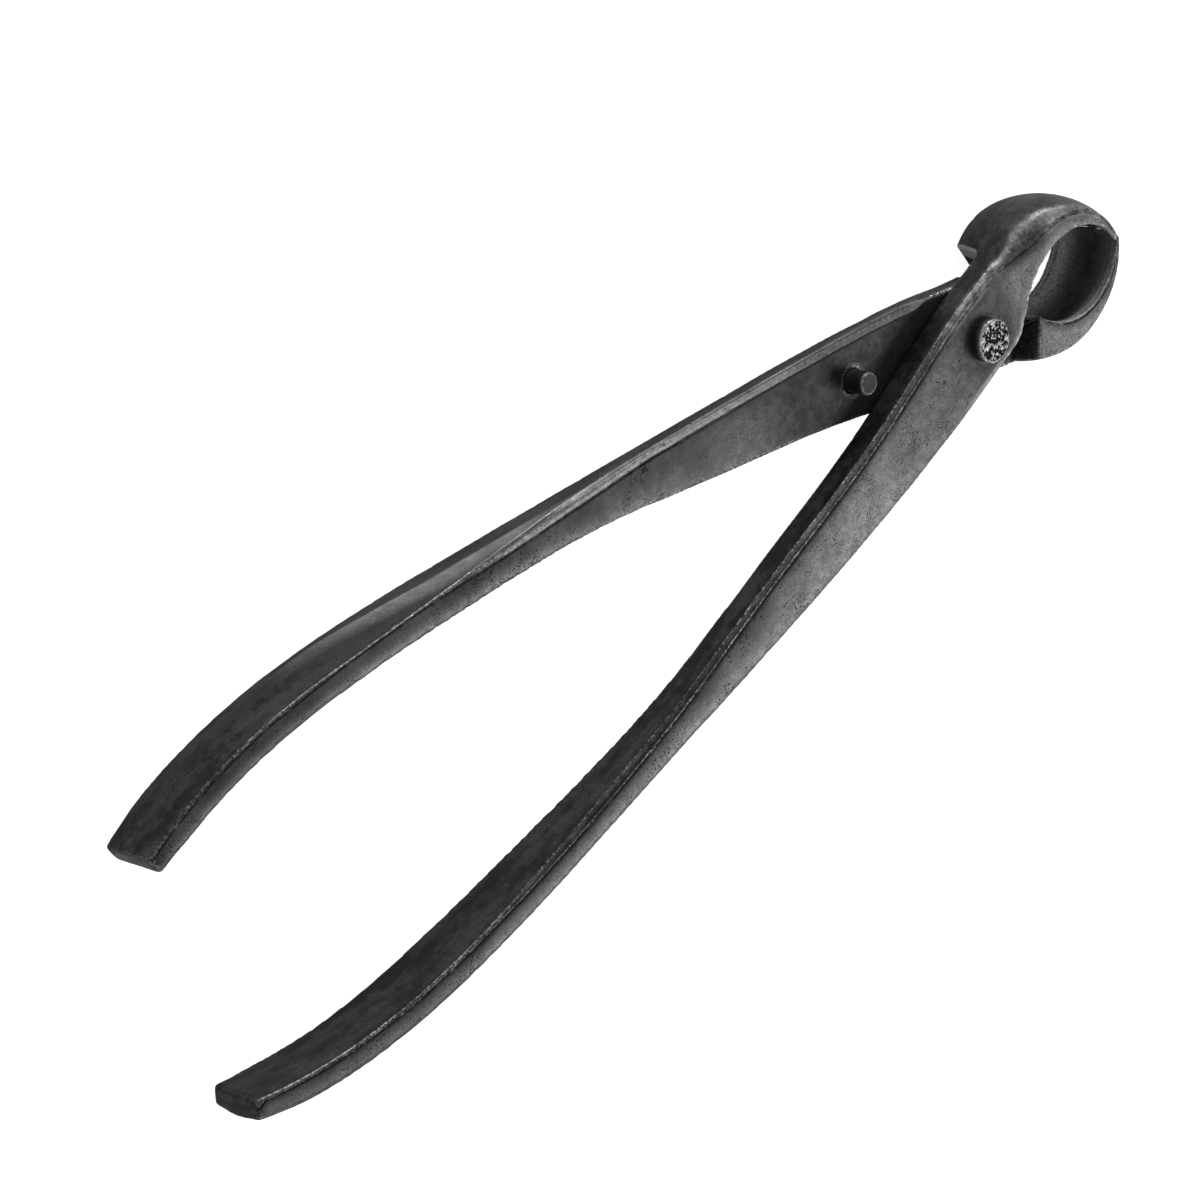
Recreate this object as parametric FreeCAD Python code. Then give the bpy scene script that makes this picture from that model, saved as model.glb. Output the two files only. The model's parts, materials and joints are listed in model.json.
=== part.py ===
import FreeCAD, Part
import math
import os

# Forged two-lever nipping cutter with cupped jaws, in millimetres.
# Origin: under the middle of the closed tool, on the plane that it lies on.
# +X points to the jaws, +Z along the pivot towards the hammered rivet head, and the
# near lever has its handle on the -Y side and its jaw on the +Y side.
# The shapes are built about the pivot, with the lap plane at z = 0, and moved at the end.
# The far lever is the same forging turned half a turn about X. Both are finished by hand,
# so their laps and jaws differ a little.

# Driving dimensions, from the pivot
HANDLE_END = -178.0        # x of the handle ends
HALF_WIDTH = 5.3           # half the forging's width along Z on handles and laps
JAW_HALF_WIDTH = 7.0       # half the jaws' width along Z
LAP_GAP = 0.04             # running gap between the two lap faces
EDGE_GAP = 0.04            # gap between the cutting edges when the jaws are closed
PIVOT_X = 72.2             # the pivot's distance in front of the middle of the closed tool
RIVET_DIA = 5.0
RIVET_HEAD_DIA = 7.2
RIVET_NEAR_HEAD = 1.7      # height of the hammered head on the near side
RIVET_FAR_HEAD = 1.6       # height of the formed head on the far side
RIVET_RUNNING = 0.05       # radial clearance of the rivet in the far lever
RIVET_END_PLAY = 0.04      # gap under the far head
RIVET_CHAMFER = 0.35       # at the rim of the hammered head
PIN_DIA = 3.8
PIN_HEIGHT = 3.6           # how far the stop pin stands above the lap face
PIN_X = -25.0
PIN_Y = 6.8
PIN_CHAMFER = 0.3

# Lever from handle end to lap: x, y of the flat inner side, thickness from there to
# the outer edge, and the height of the crown that the outer side carries beyond it.
LEVER_STATIONS = [
    (HANDLE_END - 2.0, -19.4, 3.6, 0.6),
    (-161.0, -24.1, 4.0, 0.8),
    (-144.0, -25.1, 4.0, 0.8),
    (-111.0, -21.5, 4.6, 0.7),
    (-78.0, -14.8, 6.5, 0.7),
    (-44.0, -5.6, 10.6, 1.1),
    (-24.0, 0.2, 12.6, 1.1),
    (-10.0, 5.4, 14.5, 1.1),
    (2.0, 8.9, 14.6, 1.1),
]
SPREAD_START = -44.0       # x where one lever begins to grow thicker than the other

# What differs between the levers: extra thickness at the last station, half height of the
# ball along Y, and lean of the jaw's flat back from the lap plane to the far rim.
NEAR_FINISH = (0.0, 16.6, math.radians(12.0))
FAR_FINISH = (1.4, 15.7, math.radians(4.0))
END_LEAN = math.radians(19.0)   # the handle ends are cut square to the handle's own line
INNER_CHAMFER = 0.9        # chamfer along the inner near edge of the shank

# Half lap: the back of the shank climbs from full width to the lap plane
RAMP_START = -142.0
RAMP_END = -62.0

# Arm from the lap to the jaw ring, in plan at the near face
ARM_UPPER = [(-9.0, 5.6), (-3.0, 7.6), (3.0, 9.3), (7.5, 10.4), (12.0, 11.8)]
ARM_IN_WALL = (17.0, 8.2)  # inside the ball's wall, so that the two join
ARM_RING_ANGLES = (110.0, 130.0, 150.0)   # stretch of the jaw opening that the arm follows
ARM_INSIDE = (9.9, 0.0)    # where the arm's inner side leaves the jaw opening
LAP_THROAT = (8.3, -2.3)
LAP_CORNER = (6.4, -4.5)   # corner of the lap below the rivet
ARM_LOWER_Y = -8.7         # lower side of the arm where it leaves the lap
ARM_LOWER_DRAFT = 0.8      # share of the crown's height that the lower side takes there

# Jaw: a cut ball, a little longer along X, with a barrel-shaped hollow
BALL_R = 16.4              # along Z
BALL_LENGTH = 17.4         # half length along X
BALL_CENTRE = (17.6, -3.3)
HOLLOW_R = 12.2            # radius of the jaw opening at its rims
HOLLOW_BULGE = 1.9         # how much wider the hollow is in the middle
HOLLOW_LAND = 5.5          # half height of the bulged part of the hollow
HOLLOW_CENTRE = (21.2, -5.0)
RIM_BEVEL_R = 14.3         # 45 degree bevel round the rim on the arm's side, at full width
RIM_BEVEL_CENTRE = (19.6, -3.9)
EDGE_GRIND = (31.2, 1.9)   # where the straight grind of the cutting edge starts on the rims
EDGE_TIP = 32.8            # where it reaches the edge
FLARE_START = 3.0          # the width grows from the lap's to the jaw's between these
FLARE_END = 19.0
BACK_FACE = (8.3, 10.4)    # outer corner of the flat back of the jaw, at the lap plane
BACK_LEAN = math.radians(20.0)   # lean of the flat back in plan

FAR = 60.0                 # longer than anything that is cut across
BEYOND_LAP = 10.0          # x beyond which the lap has no metal of the shank
EASE_STEPS = 8             # spans in a spline that follows the easing curve


def vec(x, y, z=0.0):
    return FreeCAD.Vector(x, y, z)


def spline(points):
    """Smooth open edge through the points."""
    curve = Part.BSplineCurve()
    curve.interpolate(points)
    return curve.toShape()


def ease(x, start, end):
    """Smooth change from 0 at start to 1 at end, level at both."""
    t = min(max((x - start) / (end - start), 0.0), 1.0)
    return t * t * (3.0 - 2.0 * t)


def spread_at(x, spread):
    """Extra thickness of a lever at one station."""
    return spread * ease(x, SPREAD_START, LEVER_STATIONS[-1][0])


def eased_points(start, end, height_at):
    """Points for a spline in the XZ plane, at one side of everything."""
    step = (end - start) / EASE_STEPS
    xs = [start + i * step for i in range(EASE_STEPS + 1)]
    return [vec(x, -FAR, height_at(x)) for x in xs]


def extrude_face(edges, direction):
    return Part.Face(Part.Wire(edges)).extrude(direction)


def section(station, spread):
    """Closed outline of the forging at one station, flat inside and crowned outside."""
    x, inner_y, thickness, crown = station
    outer_y = inner_y - thickness - spread_at(x, spread)
    chamfer = INNER_CHAMFER if x > RAMP_START else INNER_CHAMFER / 3
    corners = [
        vec(x, inner_y, -HALF_WIDTH),
        vec(x, inner_y, HALF_WIDTH - chamfer),
        vec(x, inner_y - chamfer, HALF_WIDTH),
        vec(x, outer_y, HALF_WIDTH),
        vec(x, outer_y - crown, 0.0),
        vec(x, outer_y, -HALF_WIDTH),
    ]
    return Part.makePolygon(corners + corners[:1])


def handle_and_lap(spread):
    """Full-width lever up to the pivot."""
    return Part.makeLoft([section(station, spread) for station in LEVER_STATIONS], True, False)


def width_at(x):
    """Half width along Z of the jaw end, easing from the lap's to the jaw's."""
    return HALF_WIDTH + (JAW_HALF_WIDTH - HALF_WIDTH) * ease(x, FLARE_START, FLARE_END)


def flare_slab(low_side):
    """Space between the near rim surface and either the far rim surface or the lap plane."""
    top = eased_points(FLARE_START, FLARE_END, width_at)
    near_back = vec(-FAR, -FAR, HALF_WIDTH)
    near_front = vec(FAR, -FAR, JAW_HALF_WIDTH)
    edges = [
        Part.makeLine(near_back, top[0]),
        spline(top),
        Part.makeLine(top[-1], near_front),
    ]
    if low_side:
        far_back = vec(-FAR, -FAR, -HALF_WIDTH)
        far_front = vec(FAR, -FAR, -JAW_HALF_WIDTH)
        bottom = [vec(p.x, p.y, -p.z) for p in top]
        edges += [
            Part.makeLine(near_front, far_front),
            Part.makeLine(far_front, bottom[-1]),
            spline(bottom[::-1]),
            Part.makeLine(bottom[0], far_back),
            Part.makeLine(far_back, near_back),
        ]
    else:
        edges += [
            Part.makeLine(near_front, vec(FAR, -FAR, 0.0)),
            Part.makeLine(vec(FAR, -FAR, 0.0), vec(-FAR, -FAR, 0.0)),
            Part.makeLine(vec(-FAR, -FAR, 0.0), near_back),
        ]
    return extrude_face(edges, vec(0, 2 * FAR, 0))


def hollow():
    """Barrel-shaped space inside the closed jaws, open at both rims."""
    reach = 2 * JAW_HALF_WIDTH
    bulge = Part.Arc(
        vec(HOLLOW_R, 0, -HOLLOW_LAND),
        vec(HOLLOW_R + HOLLOW_BULGE, 0, 0),
        vec(HOLLOW_R, 0, HOLLOW_LAND),
    )
    edges = [
        Part.makeLine(vec(0, 0, -reach), vec(HOLLOW_R, 0, -reach)),
        Part.makeLine(vec(HOLLOW_R, 0, -reach), vec(HOLLOW_R, 0, -HOLLOW_LAND)),
        bulge.toShape(),
        Part.makeLine(vec(HOLLOW_R, 0, HOLLOW_LAND), vec(HOLLOW_R, 0, reach)),
        Part.makeLine(vec(HOLLOW_R, 0, reach), vec(0, 0, reach)),
        Part.makeLine(vec(0, 0, reach), vec(0, 0, -reach)),
    ]
    solid = Part.Face(Part.Wire(edges)).revolve(vec(0, 0, 0), vec(0, 0, 1), 360)
    solid.translate(vec(*HOLLOW_CENTRE))
    return solid


def bevel_envelope():
    """Cone that takes the corner off the ball's rim on the arm's side, and a tube below it."""
    middle_r = RIM_BEVEL_R + JAW_HALF_WIDTH
    height = 2 * JAW_HALF_WIDTH
    centre = vec(*RIM_BEVEL_CENTRE)
    cone = Part.makeCone(middle_r, middle_r - height, height, centre, vec(0, 0, 1))
    return cone.fuse(Part.makeCylinder(middle_r, height, centre, vec(0, 0, -1)))


def edge_grind():
    """Wedge that brings the inside of both rims to a sharp edge."""
    corners = [
        vec(EDGE_GRIND[0], EDGE_GRIND[1], -FAR),
        vec(EDGE_TIP, 0, -FAR),
        vec(EDGE_TIP, -BALL_R, -FAR),
        vec(EDGE_GRIND[0] - EDGE_GRIND[1], -BALL_R, -FAR),
    ]
    return Part.Face(Part.makePolygon(corners + corners[:1])).extrude(vec(0, 0, 2 * FAR))


def back_cut(tilt):
    """Everything behind the jaw's back face on the far side of the lap plane."""
    lean = math.tan(BACK_LEAN)
    top_x = BACK_FACE[0] - (FAR - BACK_FACE[1]) * lean
    low_x = BACK_FACE[0] + (FAR + BACK_FACE[1]) * lean
    corners = [vec(top_x, FAR), vec(low_x, -FAR), vec(-4 * FAR, -FAR), vec(-4 * FAR, FAR)]
    face = Part.Face(Part.makePolygon(corners + corners[:1]))
    return face.extrude(vec(FAR * math.tan(tilt), 0, -FAR))


def cup(ball_height, back_tilt):
    """The cupped jaw: upper part of the hollow ball, its two rims and its flat back."""
    stretch = FreeCAD.Matrix()
    stretch.scale(BALL_LENGTH / BALL_R, ball_height / BALL_R, 1.0)
    ball = Part.makeSphere(BALL_R).transformGeometry(stretch)
    ball.translate(vec(*BALL_CENTRE))
    keep = Part.makeBox(2 * FAR, FAR, 2 * FAR, vec(-FAR, EDGE_GAP / 2, -FAR))
    shell = ball.common(keep).common(flare_slab(True)).common(bevel_envelope())
    return shell.cut(back_cut(back_tilt)).cut(hollow()).cut(edge_grind())


def ring_point(angle_deg, z):
    """Point on the jaw opening's rim."""
    a = math.radians(angle_deg)
    x = HOLLOW_CENTRE[0] + HOLLOW_R * math.cos(a)
    y = HOLLOW_CENTRE[1] + HOLLOW_R * math.sin(a)
    return vec(x, y, z)


def arm_outline(z, spread):
    """Closed outline of the arm at one height, from inside the lap to the jaw ring."""
    bevel = max(z - (HALF_WIDTH - INNER_CHAMFER), 0.0)
    draft = LEVER_STATIONS[-1][3] * (1.0 - z / HALF_WIDTH) + spread
    upper = [vec(x, y - bevel, z) for x, y in ARM_UPPER]
    wall_end = vec(ARM_IN_WALL[0], ARM_IN_WALL[1], z)
    ring = [ring_point(angle, z) for angle in ARM_RING_ANGLES]
    inside = vec(ARM_INSIDE[0], ARM_INSIDE[1], z)
    throat = vec(LAP_THROAT[0] + draft / 2, LAP_THROAT[1] - draft / 2, z)
    corner = vec(LAP_CORNER[0] + draft / 2, LAP_CORNER[1] - draft, z)
    lower_start = vec(upper[0].x, ARM_LOWER_Y - ARM_LOWER_DRAFT * draft, z)
    edges = [
        spline(upper),
        Part.makeLine(upper[-1], wall_end),
        Part.makeLine(wall_end, ring[0]),
        Part.Arc(*ring).toShape(),
        spline([ring[-1], inside, throat, corner]),
        Part.makeLine(corner, lower_start),
        Part.makeLine(lower_start, upper[0]),
    ]
    return Part.Wire(edges)


def arm(spread):
    """Arm on the near side, from the pivot region of the lap to the jaw ring."""
    heights = [0.0, HALF_WIDTH - INNER_CHAMFER, JAW_HALF_WIDTH]
    plate = Part.makeLoft([arm_outline(z, spread) for z in heights], True, True)
    lap_floor = Part.makeBox(2 * FAR, 2 * FAR, FAR, vec(-FAR, -FAR, LAP_GAP / 2))
    return plate.common(flare_slab(False)).common(lap_floor)


def ramp_height(x):
    """Height of the half lap's far surface, from the handle's far face to the lap plane."""
    return -HALF_WIDTH + (HALF_WIDTH + LAP_GAP / 2) * ease(x, RAMP_START, RAMP_END)


def ramp_cut():
    """Space on the far side of the shank and lap, closed by the long ramp."""
    points = eased_points(RAMP_START, RAMP_END, ramp_height)
    lap_end = vec(BEYOND_LAP, -FAR, LAP_GAP / 2)
    low_end = vec(BEYOND_LAP, -FAR, -FAR)
    low_start = vec(RAMP_START, -FAR, -FAR)
    edges = [
        spline(points),
        Part.makeLine(points[-1], lap_end),
        Part.makeLine(lap_end, low_end),
        Part.makeLine(low_end, low_start),
        Part.makeLine(low_start, points[0]),
    ]
    return extrude_face(edges, vec(0, 2 * FAR, 0))


def end_cut():
    """Everything beyond the slanted end of the handle."""
    end_y = LEVER_STATIONS[0][1] - LEVER_STATIONS[0][2] / 2
    box = Part.makeBox(FAR, FAR, FAR, vec(-FAR, -FAR / 2, -FAR / 2))
    box.rotate(vec(0, 0, 0), vec(0, 0, 1), -math.degrees(END_LEAN))
    box.translate(vec(HANDLE_END, end_y))
    return box


def forging(finish):
    """Handle, half lap, arm and cupped jaw, in the near lever's place."""
    spread, ball_height, back_tilt = finish
    shank = handle_and_lap(spread).cut(ramp_cut()).cut(end_cut())
    return shank.fuse(arm(spread)).fuse(cup(ball_height, back_tilt)).removeSplitter()


def drill(body, x, y, diameter):
    bore = Part.makeCylinder(diameter / 2, 2 * FAR, vec(x, y, -FAR), vec(0, 0, 1))
    return body.cut(bore)


def near_lever():
    return drill(forging(NEAR_FINISH), 0, 0, RIVET_DIA)


def far_lever():
    body = forging(FAR_FINISH)
    body.rotate(vec(0, 0, 0), vec(1, 0, 0), 180)
    body = drill(body, 0, 0, RIVET_DIA + 2 * RIVET_RUNNING)
    return drill(body, PIN_X, PIN_Y, PIN_DIA)


def pivot_rivet():
    """Shank with a flat hammered head on the near side and a domed head on the far side."""
    near_z = HALF_WIDTH + RIVET_NEAR_HEAD
    far_z = -HALF_WIDTH - RIVET_END_PLAY
    low_z = far_z - RIVET_FAR_HEAD
    shank = Part.makeCylinder(RIVET_DIA / 2, near_z - far_z, vec(0, 0, far_z))
    near = Part.makeCylinder(RIVET_HEAD_DIA / 2, RIVET_NEAR_HEAD, vec(0, 0, HALF_WIDTH))
    near_edges = [e for e in near.Edges if e.BoundBox.ZMin > near_z - RIVET_CHAMFER]
    near = near.makeChamfer(RIVET_CHAMFER, near_edges)
    far = Part.makeCylinder(RIVET_HEAD_DIA / 2, RIVET_FAR_HEAD, vec(0, 0, low_z))
    low_edges = [e for e in far.Edges if e.BoundBox.ZMax < far_z - RIVET_FAR_HEAD / 2]
    far = far.makeFillet(RIVET_FAR_HEAD / 2, low_edges)
    return shank.fuse(near).fuse(far).removeSplitter()


def stop_pin():
    """Round pin riveted flush into the far lever's lap."""
    pin = Part.makeCylinder(PIN_DIA / 2, HALF_WIDTH + PIN_HEIGHT, vec(PIN_X, PIN_Y, -HALF_WIDTH))
    top_edges = [e for e in pin.Edges if e.BoundBox.ZMin > PIN_HEIGHT - PIN_CHAMFER]
    return pin.makeChamfer(PIN_CHAMFER, top_edges)


def main():
    os.makedirs("parts", exist_ok=True)
    nodes = {
        "near_lever": near_lever(),
        "far_lever": far_lever(),
        "pivot_rivet": pivot_rivet(),
        "stop_pin": stop_pin(),
    }
    for name, shape in nodes.items():
        shape.translate(vec(PIVOT_X, 0, JAW_HALF_WIDTH))
        shape.exportStep("parts/" + name + ".step")


main()
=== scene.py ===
import json
import math

import bmesh
import bpy
import numpy as np
from mathutils import Matrix, Vector


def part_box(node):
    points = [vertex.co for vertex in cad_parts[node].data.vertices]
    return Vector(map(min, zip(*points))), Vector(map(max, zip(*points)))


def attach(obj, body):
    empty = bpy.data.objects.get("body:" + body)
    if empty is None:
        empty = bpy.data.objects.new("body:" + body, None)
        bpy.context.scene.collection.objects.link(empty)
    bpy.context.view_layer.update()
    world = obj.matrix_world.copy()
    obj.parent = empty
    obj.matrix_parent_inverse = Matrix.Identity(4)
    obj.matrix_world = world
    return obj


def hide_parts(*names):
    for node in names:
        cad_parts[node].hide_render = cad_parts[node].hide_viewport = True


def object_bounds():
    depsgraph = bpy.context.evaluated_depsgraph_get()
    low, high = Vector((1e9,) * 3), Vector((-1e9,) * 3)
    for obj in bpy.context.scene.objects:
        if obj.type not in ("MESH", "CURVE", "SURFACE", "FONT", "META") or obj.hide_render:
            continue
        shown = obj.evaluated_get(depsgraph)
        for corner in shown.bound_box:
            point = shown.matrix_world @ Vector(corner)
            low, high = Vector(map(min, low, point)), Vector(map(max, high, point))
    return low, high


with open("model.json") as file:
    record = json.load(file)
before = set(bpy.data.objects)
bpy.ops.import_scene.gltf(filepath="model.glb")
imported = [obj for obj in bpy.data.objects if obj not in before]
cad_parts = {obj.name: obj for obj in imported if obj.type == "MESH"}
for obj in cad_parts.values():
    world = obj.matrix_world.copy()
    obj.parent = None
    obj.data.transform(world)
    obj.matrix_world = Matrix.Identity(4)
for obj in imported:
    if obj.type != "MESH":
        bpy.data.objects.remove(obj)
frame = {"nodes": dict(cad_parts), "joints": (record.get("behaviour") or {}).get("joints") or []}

# Looks of the forged two-lever nipping cutter. Lengths are in metres, in the CAD frame.
CAD_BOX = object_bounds()
MM = 0.001
PIVOT = np.array(frame["joints"][0]["pos_m"], float)
LAP_Z = PIVOT[2]
PIN_SEAT = np.mean(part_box("stop_pin"), axis=0)

# Levers. Places are those of the near lever, from the pivot; the far one is the same, turned over.
VOXEL = 0.28 * MM
ROW = 0.5 * MM                      # rows of points across a lever are this long
LAP_SIDE = 28.0 * MM                # edges are crisp from the pivot back to here
HANDLE_SIDE = 62.0 * MM             # and worn round from here back
HANDLE_TIP = (171.0 * MM, 176.0 * MM)      # between these it gets rounder still
GROOVE_END = 172.0 * MM             # the groove runs back to here
NEAR_FACE = 4.8 * MM                # the near face is higher than this above the lap
HOLLOW = np.array([21.2, -5.0]) * MM       # middle of the jaw opening
SEAM = np.array([12.6, 10.4, 4.8]) * MM    # where the arm runs into the ball
CUTTING_EDGE = 25.0 * MM            # the cutting edge lies in front of here
EDGE_Y = 0.02 * MM                  # it is drawn down to this far from the middle plane
EDGE_LIMIT = 0.015 * MM             # and never comes nearer than this
LAP_LIMIT = 0.02 * MM               # nor a lap face nearer than this to the plane of the laps

BEVEL_WIDE = 0.85 * MM              # bevel along the outer edge of the ramp and lap, on the face
BEVEL_TALL = 1.5 * MM               # and down the crowned side,
BEVEL_LOSS = 0.9 * MM               # less this much at its back end
CREST_BACK = [20.0, 50.0, 115.0, 135.0]    # along the outer side, in mm back from the pivot,
CREST_HIGH = [2.5, 1.4, 0.9, 3.6]          # the crest's height in mm above the lap
LEAN = 0.08                         # the side leans in by this share of the height under the crest
GROOVE_IN = 0.15 * MM               # the groove's distance inside the near face

# Relief in millimetres. Waves are (height, length, seed).
LEVER_WAVES = ((0.055, 11.0, 5), (0.030, 4.0, 6), (0.010, 1.3, 7))
CROWN = 0.08                        # the broad faces fall away this much to their edges
GROOVE_DEEP = 0.08
NICK_DEEP = 0.06
PIT_DEEP = 0.05
HAMMER_DEEP = 0.11
SUNK = 0.10                         # the rivet's hammered face lies this much below its rim
HAMMER_WAVES = ((1.0, 0.36, 3), (0.6, 0.2, 4), (0.45, 1.0, 9))
PIN_WAVES = ((0.030, 0.9, 17), (0.012, 0.35, 18))

# Rivet and pin
SHANK = 2.5 * MM
SEAT_NEAR = LAP_Z + 5.3 * MM        # undersides of the rivet's heads
SEAT_FAR = LAP_Z - 5.34 * MM
FAR_ROUND = 0.8 * MM                # radius of the far head's edge
RIVET_EDGE = ((0.34, 0.0), (0.08, 0.14), (0.0, 0.4))   # mm in from the rim and down from the top
PIN_EDGE = ((0.55, 0.0), (0.22, 0.02), (0.06, 0.16), (0.0, 0.4))
PIN_DISH = 0.04 * MM                # the middle of the pin's end lies this much lower
PIN_SHANK = 0.985                   # share of the bore's radius that the pin fills

# ---------------------------------------------------------------- noise on point arrays


def smooth(t):
    return t * t * (3.0 - 2.0 * t)


def step(x, low, high):
    """Smooth change from 0 at low to 1 at high."""
    return smooth(np.clip((x - low) / (high - low), 0.0, 1.0))


def cell_random(cell, seed):
    """Repeatable number from 0 to 1 for each whole-number cell."""
    h = cell[..., 0] * 374761393 + cell[..., 1] * 668265263 + cell[..., 2] * 1442695041
    h = (h + seed * 974634777) & 0xFFFFFFFF
    h = ((h ^ (h >> 13)) * 1274126177) & 0xFFFFFFFF
    h = ((h ^ (h >> 15)) * 668265263) & 0xFFFFFFFF
    return ((h ^ (h >> 16)) & 0xFFFFFF) / float(0xFFFFFF)


def noise(points, size, seed):
    """Smooth noise from -1 to 1 with features about size wide."""
    q = points / size
    base = np.floor(q).astype(np.int64)
    f = smooth(q - base)
    total = np.zeros(len(points))
    for corner in np.ndindex(2, 2, 2):
        c = np.array(corner)
        w = np.prod(np.where(c == 1, f, 1.0 - f), axis=1)
        total += w * cell_random(base + c, seed)
    return 2.0 * total - 1.0


def pits(points, size, chance, seed):
    """Round-bottomed pits scattered one to a cell: 0 outside them, up to 1 in the middle."""
    q = points / size
    base = np.floor(q).astype(np.int64)
    depth = np.zeros(len(points))
    for near in np.ndindex(3, 3, 3):
        cell = base + np.array(near) - 1
        spot = np.stack([cell_random(cell, seed + k) for k in (1, 2, 3)], axis=1)
        radius = 0.12 + 0.30 * cell_random(cell, seed + 4) ** 2
        there = cell_random(cell, seed + 5) < chance
        d = np.linalg.norm(q - cell - spot, axis=1) / radius
        depth = np.maximum(depth, np.where(there & (d < 1.0), (1.0 - d * d), 0.0))
    return depth


def waves(points, parts):
    """Sum of noises. parts are (height, length in millimetres, seed)."""
    return sum(height * noise(points, length * MM, seed) for height, length, seed in parts)


def running_mean(values, reach):
    """Mean of each value and its neighbours as far as reach."""
    count = 2 * reach + 1
    return np.convolve(np.pad(values, reach, mode="edge"), np.full(count, 1.0 / count), "valid")


# ---------------------------------------------------------------- meshes as point arrays


def new_object(name, data):
    obj = bpy.data.objects.new(name, data)
    bpy.context.scene.collection.objects.link(obj)
    return obj


def mesh_from(bm, name):
    """A mesh with the bmesh's shape. The bmesh is freed."""
    mesh = bpy.data.meshes.new(name)
    bm.to_mesh(mesh)
    bm.free()
    return mesh


def points_of(mesh):
    co = np.empty(len(mesh.vertices) * 3, np.float32)
    mesh.vertices.foreach_get("co", co)
    return co.reshape(-1, 3).astype(float)


def normals_of(mesh):
    no = np.empty(len(mesh.vertices) * 3, np.float32)
    mesh.vertex_normals.foreach_get("vector", no)
    return no.reshape(-1, 3).astype(float)


def set_points(mesh, co):
    mesh.vertices.foreach_set("co", co.astype(np.float32).ravel())
    mesh.update()


def edges_of(mesh):
    e = np.empty(len(mesh.edges) * 2, np.int32)
    mesh.edges.foreach_get("vertices", e)
    return e.reshape(-1, 2)


def store(mesh, name, values):
    layer = mesh.attributes.new(name, "FLOAT", "POINT")
    layer.data.foreach_set("value", np.asarray(values, np.float32))


def shade_smooth(mesh):
    mesh.polygons.foreach_set("use_smooth", [True] * len(mesh.polygons))


class Neighbours:
    """Averages over a mesh's edges."""

    def __init__(self, mesh):
        self.edges = edges_of(mesh)
        self.count = len(mesh.vertices)
        self.degree = np.maximum(np.bincount(self.edges.ravel(), minlength=self.count), 1)

    def mean(self, values):
        a, b = self.edges.T
        columns = values.reshape(self.count, -1).T
        total = [
            np.bincount(a, c[b], self.count) + np.bincount(b, c[a], self.count) for c in columns
        ]
        return (np.stack(total, axis=1) / self.degree[:, None]).reshape(values.shape)

    def relax(self, values, rounds, weight):
        """Moves values towards their neighbours' average, by weight at each point."""
        w = weight if values.ndim == 1 else weight[:, None]
        for _ in range(rounds):
            values = values + w * (self.mean(values) - values)
        return values


def remeshed(node, name):
    """A new object with the CAD node's shape in small even faces."""
    mesh = frame["nodes"][node].data.copy()
    bm = bmesh.new()
    bm.from_mesh(mesh)
    bmesh.ops.remove_doubles(bm, verts=bm.verts, dist=1e-7)
    bm.to_mesh(mesh)
    bm.free()
    rough = new_object(name + "_rough", mesh)
    voxels = rough.modifiers.new("voxels", "REMESH")
    voxels.mode = "VOXEL"
    voxels.voxel_size = VOXEL
    bpy.context.view_layer.update()
    graph = bpy.context.evaluated_depsgraph_get()
    fine = bpy.data.meshes.new_from_object(rough.evaluated_get(graph))
    bpy.data.objects.remove(rough)
    fine.materials.clear()
    return new_object(name, fine)


# ---------------------------------------------------------------- levers


def row_ends(local, chosen, pick):
    """Picks one height from each row of chosen points, and gives it at every point.

    Rows follow each other along the first column of local, and heights are in the second.
    """
    row = np.floor(local[:, 0] / ROW).astype(int)
    first = row.min()
    ends = np.full(row.max() - first + 1, np.nan)
    for k in range(len(ends)):
        there = local[chosen & (row == first + k), 1]
        if len(there):
            ends[k] = pick(there)
    middle = (np.arange(len(ends)) + first + 0.5) * ROW
    known = ~np.isnan(ends)
    ends = np.interp(middle, middle[known], ends[known])
    return np.interp(local[:, 0], middle, running_mean(ends, 3))


def sharp_edge(local):
    """Draws the thin cutting edge down again to where the jaws meet."""
    tip = (local[:, 0] > CUTTING_EDGE - 1.0 * MM) & (local[:, 1] < 4.0 * MM)
    row = np.floor(local[:, 2] / ROW).astype(int)
    rows = range(row[tip].min(), row[tip].max() + 1)
    short = np.array([local[tip & (row == k), 1].min() for k in rows])
    middle = (np.array(rows) + 0.5) * ROW
    gap = np.interp(local[:, 2], middle, running_mean(short, 1)) - EDGE_Y
    moved = local.copy()
    moved[:, 1] -= gap * (1.0 - step(local[:, 1], 0.5 * MM, 3.5 * MM)) * tip
    return moved


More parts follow.
